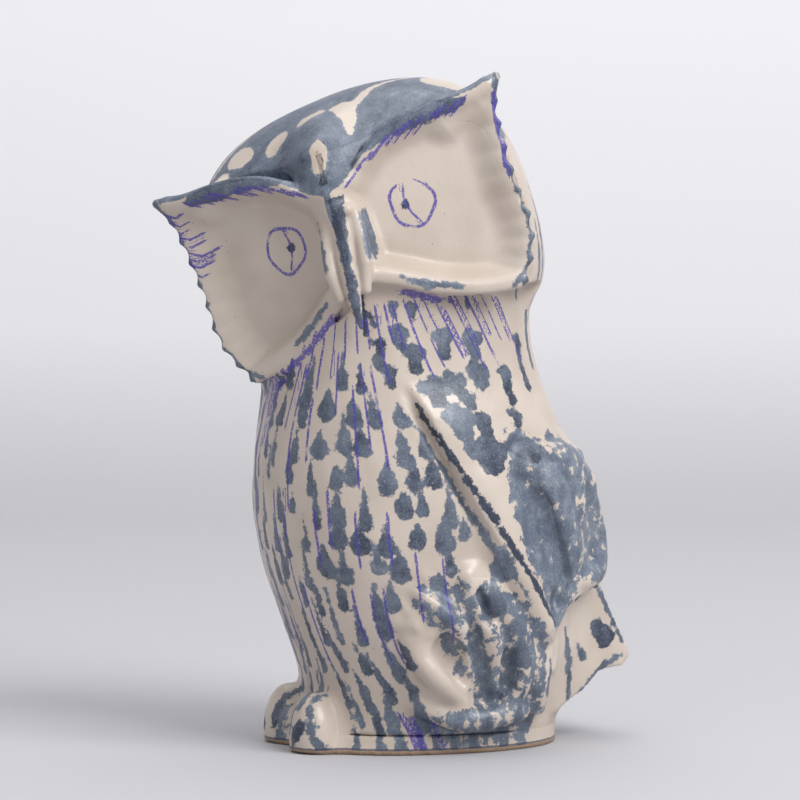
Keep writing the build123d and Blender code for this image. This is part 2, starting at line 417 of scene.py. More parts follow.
def edge_distance(y, z):
    """How far behind the wing's front edge a point is, in the side view."""
    start, end = WING_EDGE
    along = (end - start) / np.linalg.norm(end - start)
    share = (y - start[0]) * along[0] + (z - start[1]) * along[1]
    bow = WING_BOW * np.sin(np.pi * np.clip(share / WING_LENGTH, 0, 1))
    return (y - start[0]) * -along[1] + (z - start[1]) * along[0] + bow


def sculpt_wings(zone, field):
    """Swell the wings and the torn flanks out of the body."""
    x, y, z = zone.x, zone.y, zone.z
    angle = np.abs(round_body(x, y, z)).astype(np.float32)
    flat = smooth_step(np.abs(x), 16, 32)
    front = edge_distance(y, z)
    length = smooth_step(z, 52, 66) * (1 - smooth_step(z, 122, 137))
    wing = 4.0 * smooth_step(front, -0.5, 1.3) * length * (1 - 0.85 * smooth_step(front, 3, 30)) * flat
    groove = 2.0 * np.exp(-(((front + 1.5) / 1.4) ** 2)) * length * flat
    torn = smooth_step(angle, 50, 72) * (1 - smooth_step(angle, 122, 140))
    torn = torn * smooth_step(z, 8, 20) * (1 - smooth_step(z + 0.25 * np.abs(angle - 85), 58, 78))
    crumple = lattice_noise(x, y, z * 0.7, 9, 3) + 0.6 * lattice_noise(x, y, z, 4.5, 4)
    folded = smooth_step(angle, 114, 128) * (1 - smooth_step(angle, 158, 168))
    folded = folded * smooth_step(z, 56, 68) * (1 - smooth_step(z, 108, 120))
    flank = torn * (2.4 + 2.8 * crumple) + folded * (0.8 + 1.8 * crumple)
    dents = 0.45 * lattice_noise(x, y, z, 17, 7) + 0.2 * lattice_noise(x, y, z, 8, 8)
    return field - wing + groove - flank - dents * smooth_step(z, 0, 12)


# Ropes of clay laid on the left side, mirrored on the right: (degrees round, height, out) and radii
SIDE_ROPES = [
    # the rounded end of the wing and the strip in front of it
    ([(98, 100, -3), (104, 80, -1), (112, 62, 0.5), (121, 47, 1)], (6, 6.5, 6.5, 6)),
    ([(92, 68, -1), (100, 56, 0.5), (110, 44, 0.5)], (2.6, 3.2, 3)),
    # rim of the crinkled fold
    ([(118, 108, 0), (130, 109, 2), (142, 105, 3.5), (151, 97, 4.5)], (3.5, 4.2, 4.2, 4.2)),
    ([(151, 97, 4.5), (157, 84, 6), (158, 72, 7), (152, 64, 7), (142, 62, 6)], (4, 4.2, 4.5, 4.5, 3.5)),
    ([(118, 104, 2), (127, 98, 3), (131, 86, 3), (136, 72, 4)], (4, 5, 4, 4)),
    ([(134, 104, 4), (141, 97, 5), (140, 88, 5.5)], (2.5, 3, 2.2)),
    # lip over the tail
    ([(136, 62, 3), (130, 52, 3), (124, 42, 2)], (2.6, 2.4, 2)),
    # torn flank: folds that run down and round
    ([(88, 66, 1), (92, 54, 2.5), (98, 40, 3), (99, 26, 3)], (3, 3.6, 4, 3)),
    ([(100, 60, 1), (108, 46, 3), (112, 32, 3.5), (110, 16, 2)], (3, 3.5, 4.2, 3.5)),
    ([(62, 42, 1), (68, 33, 3), (75, 26, 4), (84, 20, 3)], (3, 4.6, 4.4, 3)),
    ([(70, 58, 1), (78, 52, 3), (84, 46, 3), (87, 36, 3)], (3, 3.6, 3, 2.6)),
    ([(66, 18, 1), (80, 14, 2.5), (96, 13, 3), (116, 15, 2)], (3, 4, 4.5, 3.5)),
    ([(118, 36, 2), (122, 26, 3), (126, 16, 2)], (3, 3.4, 3)),
]
# Hollows cut by a tool or a fingertip, the same way
SIDE_HOLLOWS = [
    ([(146, 94, 12), (147, 84, 12)], (5, 5.5)),
    ([(143, 78, 10), (145, 71, 11)], (3.6, 4)),
    ([(76, 41, 3), (80, 36, 3.5), (83, 29, 3.5)], (3, 4.2, 3)),
    ([(103, 36, 4), (104, 26, 4)], (2.6, 3)),
    ([(92, 60, 3), (95, 50, 4)], (1.8, 1.8)),
    ([(88, 44, 4), (90, 33, 4)], (2, 2)),
]


def side_points(side, points):
    return [on_body(side * angle, z, out) for angle, z, out in points]


def sculpt_sides(zone):
    """The folds and hollows of both sides of the body."""
    for side, _ in SIDES:
        for points, radii in SIDE_ROPES:
            smooth = curve(side_points(side, points), 3 * len(points))
            zone.add(smooth, spread(radii, np.linspace(0, 1, len(smooth))), 4.0)
        for points, radii in SIDE_HOLLOWS:
            zone.cut(side_points(side, points), radii, 3.0)


def beside_beak(side, points):
    """Points beside the beak, following its lean."""
    return [on_face(side * a + BEAK_LEAN * b, b, out) for a, b, out in points]


def sculpt_face(zone, dish):
    """The discs, brows, ears, cheeks and beak."""
    steps = np.linspace(0, 1, 12)
    zone.add([on_face(0, *p) for p in PEAK], PEAK_RADII, 10.0)
    for side, _ in SIDES:
        sculpt_disc(zone, side, dish)
        zone.add([on_disc(side, *p) for p in EAR], EAR_RADII, 4.0)
        brow = disc_curve(side, [(a, b + 0.6) for a, b in BROW[2:]], 0.6, 12)
        zone.add(brow, spread((2.0, 2.8, 2.2), steps), 3.0)
        cheek = disc_curve(side, [(a, b + 2.2) for a, b in CHIN[:-1]], 0.4, 12)
        zone.add(cheek, spread((1.6, 2.8, 3.2), steps), 3.0)
        zone.add(beside_beak(side, BEAK_FOLD), BEAK_FOLD_RADII, 2.0)
        zone.cut(disc_curve(side, CREASE, 0.5, 14), 1.3, 1.0)
    zone.add([on_face(BEAK_LEAN * b, b, out) for b, out in BEAK], BEAK_RADII, 1.2)
    shelf = [on_face(a + 2, 10, 3.4) for a in (-3.2, 3.2)]
    zone.add(shelf, 1.8, 1.5)
    for side, _ in SIDES:
        zone.cut(beside_beak(side, BEAK_GROOVE), BEAK_GROOVE_RADII, 0.8)


def sculpt(zone, dish):
    """The whole owl's clay in one field."""
    for name in NODES:
        zone.level_set(name)
    fields = zone.nodes
    body = np.minimum(fields["body_shell"], fields["base_slab"]).astype(np.float32)
    body = sculpt_wings(zone, body)
    for _, label in SIDES:
        body = join(body, fields[f"wing_fold_{label}"] + 3.4, 8.0)
        body = join(body, fields[f"foot_{label}"] + 0.5, 7.0)
    body = join(body, fields["tail"] + 1.0, 8.0)
    zone.field = join(body, fields["head_shell"], 5.0)
    sculpt_sides(zone)
    sculpt_face(zone, dish)
    zone.field = np.maximum(zone.field, -zone.z)


# ---- paint

DEGREE = 0.86  # millimetres of body surface for each degree round it
FAR = 9.0  # distances further than this from a mark don't matter
ELSEWHERE = 1e3  # where points that a flat map leaves out are put

# Squarish dabs on each shoulder: degrees round, height, width, length
SHOULDER_DABS = [
    (59, 158, 4, 6), (68, 162, 4, 6), (77, 161, 4, 7), (70, 152, 7, 8), (61, 148, 5, 7), (76, 144, 8, 10),
    (90, 149, 8, 11), (65, 138, 6, 8), (105, 149, 8, 10), (106, 138, 9, 8), (83, 132, 11, 7), (94, 135, 8, 7),
    (98, 129, 7, 5), (91, 121, 11, 10), (101, 120, 8, 8), (100, 109, 14, 8), (117, 111, 10, 5),
    (119, 122, 5, 6), (120, 134, 6, 18), (133, 142, 5, 30), (145, 150, 4, 32), (160, 140, 5, 24),
    (172, 152, 5, 26),
]
# Mottled areas: points as (degrees round, height), radii, and how full the wash is
WASHES = [
    ([(118, 114), (122, 95), (126, 72), (128, 50)], (6, 13, 12, 6), 0.80),
    ([(136, 108), (150, 96), (153, 74), (146, 66)], (9, 13, 13, 8), 0.74),
    ([(76, 58), (90, 50), (104, 34), (112, 16)], (10, 17, 19, 11), 0.64),
    ([(70, 12), (90, 10), (122, 11)], (5, 9, 8), 0.70),
    ([(100, 56), (108, 48)], (6, 6), 0.72),
]
# path of the painted shade line in the wing's groove: (degrees round, height)
GROOVE_SHADE_PATH = [(75, 128), (88, 106), (102, 82), (116, 59), (124, 46)]
BASE_STROKES = [
    ([(56, 15), (63, 7), (67, 2)], 0.6),
    ([(62, 13), (68, 6), (71, 2)], 1.5),
    ([(73, 12), (78, 6), (81, 3)], 0.8),
]
# Touches of the brush on both sides of the tail: points as (Y, height), radii and tone
TAIL_STROKES = [
    ([(64, 42), (68, 38)], (3.4, 4.2), 1.0),
    ([(54, 37), (57, 32)], (0.5, 2.4), 0.6),
    ([(46, 44), (50, 30), (50, 14)], (0.6, 1.8, 0.9), 0.6),
    ([(56, 66), (66, 54), (76, 36)], (0.5, 1.2, 0.8), 0.4),
    ([(76, 31), (68, 28), (60, 22), (52, 12)], (0.8, 1.5, 1.2, 1.0), 0.5),
]
# Places on the crown that the brush left bare: (across, back) points and radii
BARE_SPOTS = [
    ([(-5, 27), (-1, 28)], (3.6, 3.4)),
    ([(-19, 24), (-16, 26)], (3.2, 3.4)),
    ([(0, 1), (0.5, 5)], (2.6, 3.2)),
    ([(-34, 30), (-32, 28)], (4.6, 4.4)),
    ([(-42, 25), (-41, 23)], (3.2, 3.0)),
    ([(12, 14), (11.5, 20), (10, 28)], (0.8, 2.6, 5.0)),
    ([(12, 28), (20, 39), (34, 48)], (2.2, 1.2, 0.9)),
    ([(-46, 34), (-30, 44), (-10, 52)], (1.0, 1.4, 0.8)),
    ([(44, 44), (56, 50), (60, 60)], (7.0, 9.0, 9.0)),
]
EYE, EYE_RADIUS = (28.3, 5.4), 8.1
PUPIL = (25.9, 5.6)
EYE_SLIT = [(27.0, 12.4), (26.0, 8.5), (25.9, 5.6), (27.0, 2.0), (29.0, -1.6)]


def flow(angle, z):
    """Degrees round the body that a feather mark moves for each millimetre that it runs down."""
    top = np.clip((angle - 50) * 0.016, -0.6, 0.6) * smooth_step(z, 100, 145)
    foot = 0.55 * np.sign(angle) * smooth_step(abs(angle), 8, 30) * (1 - smooth_step(z, 25, 62))
    return top + foot * (1 - smooth_step(abs(angle), 95, 120))


def run_down(angle, z, length, steps=4):
    """The path of a mark that follows the feathers down the body."""
    path = [(angle, z)]
    for _ in range(steps):
        angle = angle + flow(angle, z) * length / steps
        z = z - length / steps
        path.append((angle, z))
    return path


class Paint:
    """The marks on one piece, kept at its points as distances that the glaze turns into edges."""

    def __init__(self, points, relief, dish):
        self.x, self.y, self.z = points.T
        self.relief = relief
        count = len(points)
        self.dab, self.tone = np.full(count, FAR), np.full(count, 0.5)
        self.line, self.near = np.full(count, FAR), np.full(count, FAR)
        self.wash = np.zeros(count)
        angle = round_body(self.x, self.y, self.z)
        self.maps = {"body": (angle * DEGREE, self.z)}
        front = np.full(count, FAR)
        for side, label in SIDES:
            a, b, out = disc_coordinates(side, self.x, self.y, self.z)
            depth = dish.sample(dish.surface, a, b) - out
            inside = dish.sample(dish.outline, a, b)
            off = np.maximum(inside, depth - 3.5)
            off = np.where(a > -4, off, FAR)
            front = np.minimum(front, off)
            near = off < 4
            self.maps[label] = self.only(near, a, b)
        self.front = front
        offset = points - FACE_ORIGIN
        self.across, self.back, self.up = offset @ ACROSS, -(offset @ OUT), offset @ UP
        body_only = front > 0.6
        self.maps["body"] = self.only(body_only, *self.maps["body"])
        ridge = (abs(self.across) < 14) & (self.back < 7) & (self.up < 16)
        self.maps["ridge"] = self.only(ridge, self.across, self.up)
        self.maps["tail"] = self.only((self.y > 30) & (self.z < 90), self.y, self.z)
        self.maps["crown"] = self.only(self.up > 0, self.across, self.back)

    @staticmethod
    def only(chosen, u, v):
        """A flat map of the chosen points, with the others put elsewhere."""
        return np.where(chosen, u, ELSEWHERE), np.where(chosen, v, ELSEWHERE)

    def reach(self, where, path, radius):
        """The points near a path on one of the flat maps, and their distance, side and share along it."""
        u, v = self.maps[where]
        path = np.array(path, float)
        if where == "body":
            path[:, 0] *= DEGREE
        low, high = path.min(0) - radius, path.max(0) + radius
        near = np.nonzero((u > low[0]) & (u < high[0]) & (v > low[1]) & (v < high[1]))[0]
        if not len(near):
            return near, None, None, None
        u, v = u[near], v[near]
        best, side, place = np.full(len(near), np.inf), np.ones(len(near)), np.zeros(len(near))
        for i, (start, end) in enumerate(zip(path[:-1], path[1:])):
            along = end - start
            share = ((u - start[0]) * along[0] + (v - start[1]) * along[1]) / (along @ along)
            share = np.clip(share, 0, 1)
            du, dv = u - start[0] - share * along[0], v - start[1] - share * along[1]
            gap = np.hypot(du, dv)
            closer = gap < best
            best = np.where(closer, gap, best)
            side = np.where(closer, np.sign(along[0] * dv - along[1] * du), side)
            place = np.where(closer, (i + share) / (len(path) - 1), place)
        return near, best, side, place

    def brush(self, where, path, radii, tone=0.5):
        """One touch of the brush, its width changing along the path."""
        near, gap, _, place = self.reach(where, path, np.max(radii) + 3)
        if len(near):
            gap = gap - spread(radii, place)
            closer = gap < self.dab[near]
            self.tone[near] = np.where(closer, tone + 0.35 * (place - 0.5), self.tone[near])
            self.dab[near] = np.minimum(self.dab[near], gap)

    def pencil(self, where, path, width=0.5):
        """One line of the underglaze pencil. A wider one is drawn by making its distances shorter."""
        near, gap, side, _ = self.reach(where, path, 4)
        if len(near):
            gap = gap * 0.5 / width
            closer = gap < self.near[near]
            self.line[near] = np.where(closer, gap * side, self.line[near])
            self.near[near] = np.minimum(self.near[near], gap)

    def flood(self, where, path, radii, fullness, soft=4.0):
        """A mottled wash over an area."""
        near, gap, _, place = self.reach(where, path, np.max(radii) + soft)
        if len(near):
            gap = gap - spread(radii, place)
            weight = fullness * (1 - smooth_step(gap, -soft, soft))
            self.wash[near] = np.maximum(self.wash[near], weight)


def mirrored(side, path):
    """A path round the body, on the left for 1 and on the right for -1."""
    return [(side * t, h) for t, h in path]


def left_bare(t, h, chance):
    """Whether the rows of feathers leave a place to other marks."""
    a = abs(t)
    wing = 155 > a > (75 + (127 - h) * 0.55 if h < 127 else 62)
    if wing and h > 44 and a < 140 or wing and h > 96:
        return True
    torn = 62 < a < 125 and h < 82
    if torn and chance > -0.1 or 125 < a < 160 and 60 < h:
        return True
    return 28 < t < 58 and h > 142 or a > 128 and h < 78


def paint_feathers(paint, chance):
    """Rows of drop-shaped dabs, each row half a step round from the last."""
    for row, z in enumerate(np.arange(160, 4, -11.0)):
        for angle in np.arange(-176 + 5 * (row % 2), 180, 10.0):
            jitter = chance.uniform(-1, 1, 6)
            t, h = angle + 2.6 * jitter[0], z + 2.8 * jitter[1]
            if left_bare(t, h, jitter[2]):
                continue
            slim = t < 34 and abs(t) < 120
            width = (1.9 if slim else 3.0) + 0.7 * jitter[3]
            length = (14 if slim else 10.0) + 3.5 * jitter[4]
            if h < 60:
                length, width = length + 4, 0.88 * width
            drop = (0.2, 0.4 * width, 0.8 * width, width)
            paint.brush("body", run_down(t, h + length / 2, length), drop, 0.5 + 0.3 * jitter[5])


def paint_nape(paint, chance):
    """Grey streaks down the back of the head."""
    for turn in np.arange(104, 256, 8.0):
        t = turn if turn < 180 else turn - 360
        h, length = chance.uniform(190, 212), chance.uniform(22, 44)
        path = [(t, h), (t + chance.uniform(-2, 2), h - length)]
        paint.brush("body", path, (0.3, chance.uniform(1.0, 2.2), 0.5), 0.5)


def paint_side(paint, chance, side):
    """The shoulder's dabs, the washes, a painted shade line in the wing's groove and the strokes at the base.
    """
    for angle, z, width, length in SHOULDER_DABS:
        jitter = chance.uniform(-1, 1, 2)
        tone = 0.55 + 0.3 * jitter[0]
        if side > 0 or angle > 66:
            half, slant = width / 2 / DEGREE, side * 1.5 * jitter[1]
            t = side * angle
            upper = [(t - 0.6 * half, z + 0.30 * length), (t + 0.7 * half, z + 0.22 * length)]
            lower = [(t + slant, z + 0.3 * length), (t + 0.3 * side * half, z - 0.30 * length)]
            paint.brush("body", upper, (0.24 * width, 0.32 * width), tone)
            paint.brush("body", lower, (0.40 * width, 0.34 * width), tone + 0.2)
    for path, radii, fullness in WASHES:
        paint.flood("body", mirrored(side, path), radii, fullness)
    # painted shade: a dark stroke laid in the crease in front of the wing
    paint.brush("body", mirrored(side, GROOVE_SHADE_PATH), (0.5, 1.1, 1.3, 1.2, 0.5), 1.7)
    beside = [(t - 4.5, h - 3) for t, h in GROOVE_SHADE_PATH[:4]]
    paint.brush("body", mirrored(side, beside), (0.5, 1.2, 1.0, 0.3), 0.3)
    for path, width in BASE_STROKES:
        paint.pencil("body", mirrored(side, path), width)
    paint.brush("body", mirrored(side, [(19.5, 9.5), (18, 7.0)]), (2.6, 2.9), 1.2)


def paint_feather_lines(paint, chance):
    """Long pencil lines down the feathers."""
    for t in np.arange(-175, 98, 5.2):
        h = chance.uniform(128, 152)
        while h > 34:
            length = chance.uniform(14, 40)
            place = t + chance.uniform(-1.6, 1.6)
            busy = abs(t) > 60 and h > 100 or 60 < abs(t) < 120 and h < 60
            if chance.uniform() < (0.75 if -30 < t < 58 else 0.4) and not busy:
                paint.pencil("body", run_down(place, h, length, 5), chance.uniform(0.30, 0.52))
            h -= length + chance.uniform(2, 18)


def paint_chin_lines(paint, chance):
    """The fan of pencil lines under the chin and the beak."""
    for t in np.arange(60, 122, 4.4):
        start = 163 + 3.5 * smooth_step(t, 60, 90) - 0.5 * smooth_step(t, 95, 125)
        path = run_down(t + chance.uniform(-1, 1), start, chance.uniform(11, 27), 4)
        paint.pencil("body", path, chance.uniform(0.30, 0.55))
    for t in np.arange(6, 60, 4.6):
        start = 158 - 0.35 * max(0, 46 - t)
        path = run_down(t, start, chance.uniform(9, 26), 4)
        paint.pencil("body", path, chance.uniform(0.30, 0.5))


def paint_body(paint):
    """Feather dabs, pencil lines and washes on the body, the same for every piece."""
    chance = np.random.default_rng(11)
    paint_feathers(paint, chance)
    paint_nape(paint, chance)
    for side, _ in SIDES:
        paint_side(paint, chance, side)
    for path, radii, tone in TAIL_STROKES:
        paint.brush("tail", path, radii, tone)
    for side, _ in SIDES:
        paint.brush("body", mirrored(side, [(149, 57), (149, 56)]), (2.6, 2.8), 1.8)
    paint_feather_lines(paint, chance)
    paint_chin_lines(paint, chance)


def paint_beak(paint):
    """The dark stroke down the beak and a grey one down each fold beside it."""
    down = [(2.5, 15), (1, 5), (-0.8, -8), (-2.6, -20), (-4.4, -33)]
    paint.brush("ridge", down, (3.0, 2.0, 1.8, 1.9, 1.3), 1.1)
    for side, _ in SIDES:
        fold = [(side * 8.4 + 1, 9), (side * 9.0, 0), (side * 8.4 - 1, -9)]
        paint.brush("ridge", fold, (0.6, 1.6, 0.6), 0.4)


def paint_eye(paint, side, label):
    """A pencil ring with a slit and a pupil: the left one is open at the top."""
    turns = np.radians(np.arange(0, 361, 8) if side < 0 else np.arange(118, 396, 8))
    wobble = 0.35 * np.sin(3 * turns + side) + 0.25 * np.sin(5 * turns + 2)
    ring = [
        (EYE[0] + (EYE_RADIUS + w) * np.cos(t), EYE[1] + (EYE_RADIUS + w) * 1.04 * np.sin(t))
        for t, w in zip(turns, wobble)
    ]
    paint.pencil(label, ring, 0.6)
    paint.pencil(label, EYE_SLIT, 0.42)
    if side > 0:
        paint.pencil(label, [(EYE[0] + 3.5, EYE[1] + 7.8), (EYE[0] + 7.2, EYE[1] + 4.6)], 0.3)
    paint.brush(label, [PUPIL, (PUPIL[0] + 0.1, PUPIL[1])], (1.5, 1.5), 1.6)


def paint_rims(paint, label):
    """The cobalt line in the chin's crease and the greys on the rims."""
    paint.pencil(label, [(a, b + 0.8) for a, b in curve(CREASE[1:4], 8)], 1.3)
    paint.brush(label, [(14, -19), (24, -25), (34, -29)], (0.8, 1.6, 0.7), 0.4)
    paint.brush(label, [(52, -35), (60, -30), (64.5, -21)], (1.0, 1.5, 0.8), 0.6)
    last = 40
    edge = curve(OUTER_EDGE, last + 1)
    for place in np.arange(0.18, 0.95, 0.085):
        i = int(place * last)
        paint.brush(label, [edge[i], edge[min(i + 3, last)]], (0.8, 1.7), 0.9)


def paint_hairs(paint, chance, side, label):
    """The brow's band, and hairs along it and at the tuft."""
    paint.brush(label, [(17, 29), (30, 34), (44, 34.5), (56, 34)], (1.4, 4.0, 3.8, 1.8), 0.9)
    for a in np.arange(13, 60, 3.4):
        b = np.interp(a, *np.array(BROW).T)
        start = (a + chance.uniform(-1, 1), b - 0.3)
        run = chance.uniform(4, 9)
        end = (start[0] - 0.9 * run, b - 0.3 - 0.62 * run)
        paint.pencil(label, [start, end], chance.uniform(0.30, 0.62))
    paint.brush(label, curve(OUTER_EDGE, 30)[:12], (1.4, 1.9, 1.5, 0.6), 0.9)
    for b in np.arange(10, 36, 2.9):
        a = np.interp(b, (10, 36), (66.0, 69.0))
        run = chance.uniform(5, 13)
        bend = chance.uniform(-1.2, 0.2)
        if side < 0:
            path = [(a, b), (a - 0.5 * run, b - 0.30 * run + bend), (a - run, b - 0.22 * run + bend)]
        else:
            path = [(a, b), (a - 0.18 * run, b - 0.5 * run), (a - 0.30 * run, b - run)]
        paint.pencil(label, path, chance.uniform(0.32, 0.55))


def paint_crown(paint):
    """The crown's wash, fading down the back of the head, with its bare spots."""
    crown = smooth_step(paint.front, 0.6, 1.8) * smooth_step(paint.up, 12, 22)
    beak_top = smooth_step(paint.up, -12, -6) * smooth_step(paint.front, 0.3, 1.2)
    beak_top = beak_top * (abs(paint.across) < 7) * (paint.back < 20)
    crown = np.maximum(crown * (1 - 0.62 * smooth_step(paint.back, 62, 84)), beak_top)
    paint.wash = np.maximum(paint.wash, crown)
    for path, radii in BARE_SPOTS:
        near, gap, _, place = paint.reach("crown", path, max(radii) + 2)
        if len(near):
            paint.wash[near] *= smooth_step(gap - spread(radii, place), -1.2, 1.0)


def paint_face(paint):
    """Eyes, rims, hair lines and the crown."""
    chance = np.random.default_rng(5)
    paint_beak(paint)
    for side, label in SIDES:
        paint_eye(paint, side, label)
        paint_rims(paint, label)
        paint_hairs(paint, chance, side, label)
    paint_crown(paint)


def set_marks(piece, paint):
    """Keep the marks on the mesh for the material to read."""
    for name, values in (
        ("marks", (paint.dab, paint.tone, paint.wash)),
        ("drawn", (paint.line, paint.near, paint.relief)),
    ):
        layer = piece.data.attributes.new(name, "FLOAT_VECTOR", "POINT")
        layer.data.foreach_set("vector", np.stack(values, axis=1).astype(np.float32).ravel())


# ---- glaze


class Nodes:
    """Short ways to make the nodes of a material."""

    def __init__(self, name):
        self.material = bpy.data.materials.new(name)
        self.material.use_nodes = True
        self.tree = self.material.node_tree
        self.shader = self.tree.nodes["Principled BSDF"]
        self.place = self.node("ShaderNodeTexCoord").outputs["Object"]

    def node(self, kind, **settings):
        node = self.tree.nodes.new(kind)
        for key, value in settings.items():
            setattr(node, key, value)
        return node

    def set(self, socket, value):
        if isinstance(value, bpy.types.NodeSocket):
            self.tree.links.new(value, socket)
        else:
            socket.default_value = value

    def math(self, operation, *values):
        node = self.node("ShaderNodeMath", operation=operation)
        for socket, value in zip(node.inputs, values):
            self.set(socket, value)
        return node.outputs[0]

    def plus(self, value, other, amount):
        """A value with an amount of another added."""
        return self.math("ADD", value, self.math("MULTIPLY", other, amount))

    def sway(self, value, noise, amount):
        """A value moved up and down by a noise that is about 0.5 in the middle."""
        return self.plus(value, self.math("SUBTRACT", noise, 0.5), amount)

    def noise(self, size, detail=2.0, roughness=0.55, stretch=(1, 1, 1)):
        """Noise with features of a size in millimetres, about 0.5 in the middle."""
        scale = self.node("ShaderNodeMapping")
        self.set(scale.inputs["Vector"], self.place)
        scale.inputs["Scale"].default_value = tuple(1 / (size * MM * k) for k in stretch)
        node = self.node("ShaderNodeTexNoise")
        self.set(node.inputs["Vector"], scale.outputs["Vector"])
        self.set(node.inputs["Scale"], 1.0)
        self.set(node.inputs["Detail"], detail)
        self.set(node.inputs["Roughness"], roughness)
        return node.outputs["Fac"]

    def step(self, value, low, high):
        """0 below low and 1 above high, smoothly; high may be the lower one."""
        node = self.node("ShaderNodeMapRange", interpolation_type="SMOOTHSTEP")
        for socket, number in zip(node.inputs, (value, low, high, 0.0, 1.0)):
            self.set(socket, number)
        return node.outputs[0]

    def mix(self, share, first, second):
        node = self.node("ShaderNodeMix", data_type="RGBA")
        sockets = [s for s in node.inputs if s.type == "RGBA"]
        self.set(node.inputs[0], share)
        self.set(sockets[0], first)
        self.set(sockets[1], second)
        return [s for s in node.outputs if s.type == "RGBA"][0]

    def attribute(self, name):
        return self.split(self.node("ShaderNodeAttribute", attribute_name=name).outputs["Vector"])

    def split(self, vector):
        node = self.node("ShaderNodeSeparateXYZ")
        self.set(node.inputs[0], vector)
        return node.outputs


CREAM = (0.565, 0.490, 0.425, 1)
CREAM_THIN = (0.495, 0.420, 0.355, 1)
BLUE_LIGHT = (0.200, 0.232, 0.278, 1)
BLUE = (0.108, 0.133, 0.178, 1)
BLUE_DARK = (0.028, 0.037, 0.064, 1)
COBALT = (0.062, 0.046, 0.300, 1)
# brown used as painted shade in the clay's hollows, and for the pinholes
HOLLOW_SHADE_AND_PINHOLES = (0.27, 0.19, 0.125, 1)
BARE_CLAY = (0.30, 0.205, 0.135, 1)


def glaze_material(name):
    """Satin glaze over brushed oxides and underglaze pencil."""
    n = Nodes(name)
    dab, tone, wash = n.attribute("marks")
    line, near, relief = n.attribute("drawn")
    ragged = n.noise(2.6, 4.0, 0.62)
    grain = n.noise(0.7, 3.0, 0.6)
    pool = n.noise(7.0, 3.0, 0.55)
    slow = n.noise(30.0, 2.0)
    mottle = n.noise(4.2, 5.0, 0.6)

    edge = n.sway(n.sway(dab, ragged, 3.0), mottle, 4.0)
    dabs = n.step(n.sway(edge, grain, 1.4), 0.35, -0.35)
    patchy = n.plus(n.sway(wash, mottle, 2.0), relief, -0.22)
    patchy = n.sway(patchy, grain, 0.3)
    full = n.step(wash, 0.86, 0.97)
    washes = n.math("MULTIPLY", n.step(patchy, 0.47, 0.60), n.step(wash, 0.04, 0.2))
    washes = n.math("MAXIMUM", washes, full)
    blue = n.math("MAXIMUM", dabs, washes)

    # Where the oxide lies thick: in pools, at the bottom of a dab, in hollows
    depth = n.plus(n.math("MULTIPLY", pool, 0.9), grain, 0.75)
    depth = n.plus(n.sway(depth, mottle, 0.8), full, 0.16)
    depth = n.plus(depth, n.math("MULTIPLY", tone, dabs), 0.42)
    depth = n.plus(depth, relief, -0.12)
    light = n.mix(n.step(depth, 0.60, 0.98), BLUE_LIGHT, BLUE)
    oxide = n.mix(n.step(depth, 0.94, 1.45), light, BLUE_DARK)

    cream = n.mix(n.step(slow, 0.35, 0.65), CREAM, CREAM_THIN)
    # Painted shade: the cream is darkened towards brown where the clay is hollow
    hollow = n.step(relief, -0.6, -1.8)
    cream = n.mix(n.math("MULTIPLY", hollow, 0.75), cream, HOLLOW_SHADE_AND_PINHOLES)
    colour = n.mix(n.math("MULTIPLY", blue, n.step(grain, 0.05, 0.42)), cream, oxide)

    width = n.plus(0.18, ragged, 0.62)
    stroke = n.step(n.math("SUBTRACT", n.math("ABSOLUTE", line), width), 0.14, -0.14)
    stroke = n.math("MULTIPLY", stroke, n.step(near, 1.6, 1.2))
    stroke = n.math("MULTIPLY", stroke, n.step(grain, 0.30, 0.48))
    stroke = n.math("MULTIPLY", stroke, n.step(pool, 0.28, 0.42))
    colour = n.mix(n.math("MULTIPLY", stroke, 0.9), colour, COBALT)

    # Pinholes in the glaze and the bare edge that stood on the kiln shelf
    cells = n.node("ShaderNodeTexVoronoi")
    n.set(cells.inputs["Vector"], n.place)
    n.set(cells.inputs["Scale"], 1 / (6.5 * MM))
    holes = n.step(cells.outputs["Distance"], 0.055, 0.035)
    colour = n.mix(n.math("MULTIPLY", holes, 0.75), colour, HOLLOW_SHADE_AND_PINHOLES)
    height = n.plus(n.split(n.place)[2], ragged, 0.9 * MM)
    colour = n.mix(n.step(height, 2.5 * MM, 1.9 * MM), colour, BARE_CLAY)
    rim = n.math("ABSOLUTE", n.math("SUBTRACT", height, 2.5 * MM))
    colour = n.mix(n.math("MULTIPLY", n.step(rim, 0.55 * MM, 0.2 * MM), 0.8), colour, BLUE_DARK)

    n.set(n.shader.inputs["Base Color"], colour)
    n.set(n.shader.inputs["Roughness"], n.plus(n.plus(0.24, ragged, 0.16), blue, 0.08))
    swell = n.plus(n.math("MULTIPLY", pool, 0.5), ragged, 0.16)
    swell = n.plus(n.plus(swell, grain, 0.05), holes, -0.2)
    bump = n.node("ShaderNodeBump")
    n.set(bump.inputs["Height"], swell)
    n.set(bump.inputs["Distance"], 0.7 * MM)
    n.set(bump.inputs["Strength"], 0.55)
    n.set(n.shader.inputs["Normal"], bump.outputs["Normal"])
    return n.material


# ---- pieces

NODES = sorted(frame["nodes"])
FACE_PIECES = [name for name in NODES if name.startswith(("face_", "brow", "ear_tuft", "beak"))]
SLOTS = {row["node"]: row["material_slot"] for row in frame["record"]["subparts"]}


def node_box(name, margin):
    low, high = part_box(name)
    return np.array(low) / MM - margin, np.array(high) / MM + margin


